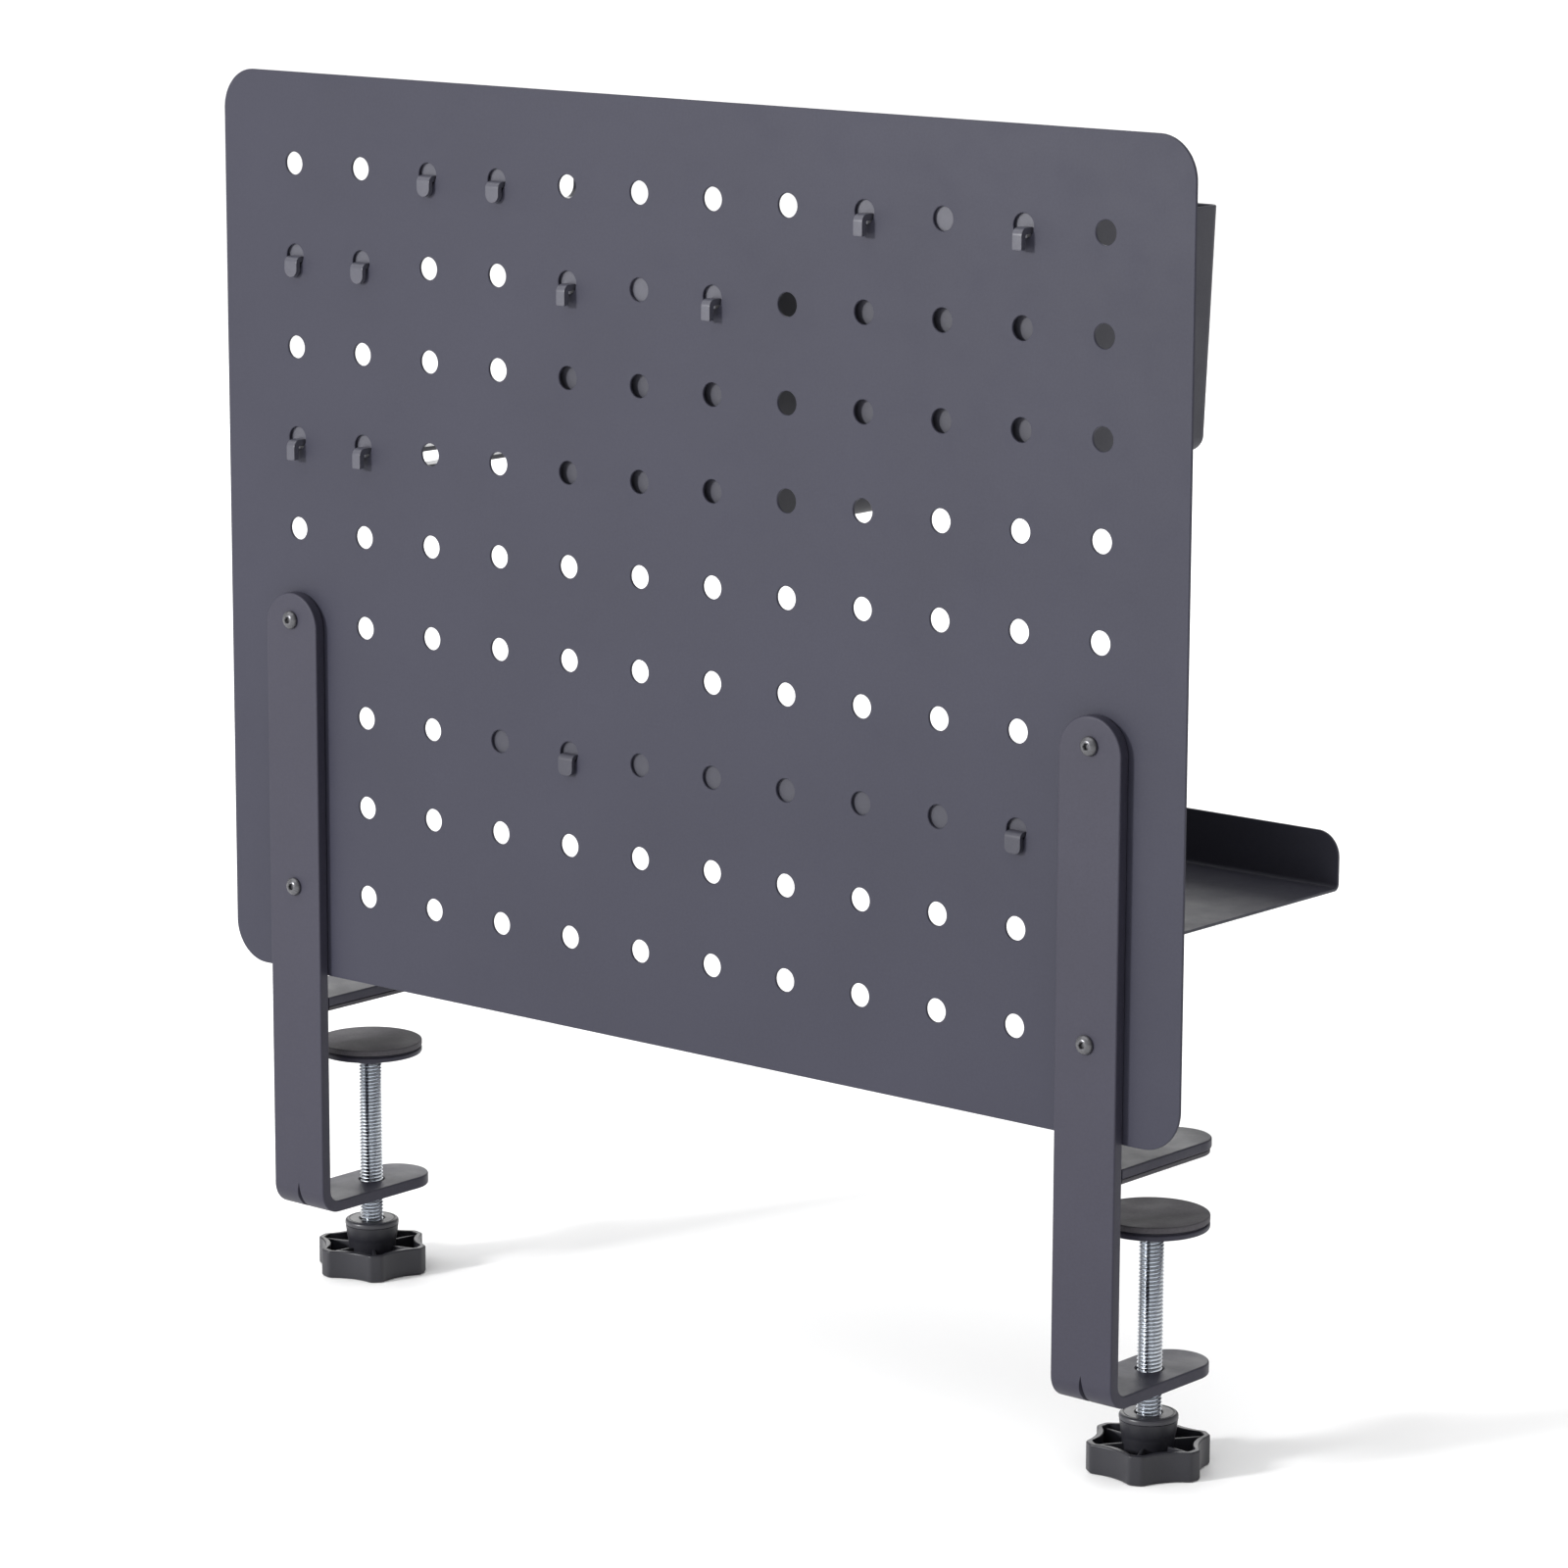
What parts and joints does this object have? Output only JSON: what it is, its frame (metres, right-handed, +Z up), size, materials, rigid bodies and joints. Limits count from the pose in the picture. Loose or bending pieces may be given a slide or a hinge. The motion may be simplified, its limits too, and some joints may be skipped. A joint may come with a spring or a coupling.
{
  "type": "desk clamp pegboard",
  "caption": "Perforated steel board that clamps to the back edge of a desk, with pen cups, a shelf tray and hooks hung on its front.",
  "frame": {"origin": "On the desk top under the middle of the board's back face: level with the underside of the upper jaws' rubber pads", "axes": "+X runs along the board, +Y points over the desk towards the user, +Z is up"},
  "size_m": [0.5, 0.1278, 0.5195],
  "materials": {
    "painted_steel": "fine matt powder coat, graphite",
    "cup_steel": "fine matt powder coat, charcoal",
    "black_screw": "black oxide, slightly shiny",
    "zinc": "bright zinc plating on a cut thread",
    "rubber": "matt black solid rubber",
    "moulded": "moulded, satin"
  },
  "bodies": {
    "root": {"peg_panel": "painted_steel", "clamp_bracket_left": "painted_steel", "upper_jaw_left": "painted_steel", "jaw_pad_left": "rubber", "clamp_bracket_right": "painted_steel", "upper_jaw_right": "painted_steel", "jaw_pad_right": "rubber", "bracket_screw_left_top": "black_screw", "bracket_screw_left_bottom": "black_screw", "bracket_screw_right_top": "black_screw", "bracket_screw_right_bottom": "black_screw", "bracket_nut_left_top": "black_screw", "bracket_nut_left_bottom": "black_screw", "bracket_nut_right_top": "black_screw", "bracket_nut_right_bottom": "black_screw"},
    "ball_left": {"pad_ball_left": "zinc"},
    "screw_left": {"clamp_rod_left": "zinc", "clamp_knob_left": "moulded"},
    "pad_left": {"pad_disc_left": "painted_steel", "pad_facing_left": "rubber"},
    "ball_right": {"pad_ball_right": "zinc"},
    "screw_right": {"clamp_rod_right": "zinc", "clamp_knob_right": "moulded"},
    "pad_right": {"pad_disc_right": "painted_steel", "pad_facing_right": "rubber"},
    "cup_left_set": {"pen_cup_left": "cup_steel", "cup_hanger_left": "cup_steel"},
    "cup_right_set": {"pen_cup_right": "cup_steel", "cup_hanger_right": "cup_steel"},
    "tray_set": {"shelf_tray": "painted_steel"},
    "hook_long_set": {"hook_long": "painted_steel"},
    "hook_short_set": {"hook_short": "painted_steel"},
    "hook_deep_set": {"hook_deep": "painted_steel"}
  },
  "joints": [
    {"name": "clamp_travel_left", "type": "slide", "parent": "root", "child": "ball_left", "axis": [0, 0, 1], "range_m": [-0.052, 0.012]},
    {"name": "knob_turn_left", "type": "hinge", "parent": "ball_left", "child": "screw_left", "pos_m": [-0.20955, 0.039, -0.0277], "axis": [0, 0, 1], "range_deg": [-12490, 2890]},
    {"name": "pad_tilt_left", "type": "hinge", "parent": "ball_left", "child": "pad_left", "pos_m": [-0.20955, 0.039, -0.0277], "axis": [1, 0, 0], "range_deg": [-4, 4]},
    {"name": "clamp_travel_right", "type": "slide", "parent": "root", "child": "ball_right", "axis": [0, 0, 1], "range_m": [-0.052, 0.012]},
    {"name": "knob_turn_right", "type": "hinge", "parent": "ball_right", "child": "screw_right", "pos_m": [0.20955, 0.039, -0.0277], "axis": [0, 0, 1], "range_deg": [-12490, 2890]},
    {"name": "pad_tilt_right", "type": "hinge", "parent": "ball_right", "child": "pad_right", "pos_m": [0.20955, 0.039, -0.0277], "axis": [1, 0, 0], "range_deg": [-4, 4]},
    {"name": "cup_lift_left", "type": "slide", "parent": "root", "child": "cup_left_set", "axis": [0, 0, 1], "range_m": [0, 0.0034]},
    {"name": "cup_lift_right", "type": "slide", "parent": "root", "child": "cup_right_set", "axis": [0, 0, 1], "range_m": [0, 0.0034]},
    {"name": "tray_lift", "type": "slide", "parent": "root", "child": "tray_set", "axis": [0, 0, 1], "range_m": [0, 0.0026]},
    {"name": "hook_long_lift", "type": "slide", "parent": "root", "child": "hook_long_set", "axis": [0, 0, 1], "range_m": [0, 0.003]},
    {"name": "hook_short_lift", "type": "slide", "parent": "root", "child": "hook_short_set", "axis": [0, 0, 1], "range_m": [0, 0.003]},
    {"name": "hook_deep_lift", "type": "slide", "parent": "root", "child": "hook_deep_set", "axis": [0, 0, 1], "range_m": [0, 0.0034]}
  ],
  "couplings": [
    {"joint": "knob_turn_left", "follows": "clamp_travel_left", "rad_per_m": 4188.8},
    {"joint": "knob_turn_right", "follows": "clamp_travel_right", "rad_per_m": 4188.8}
  ]
}
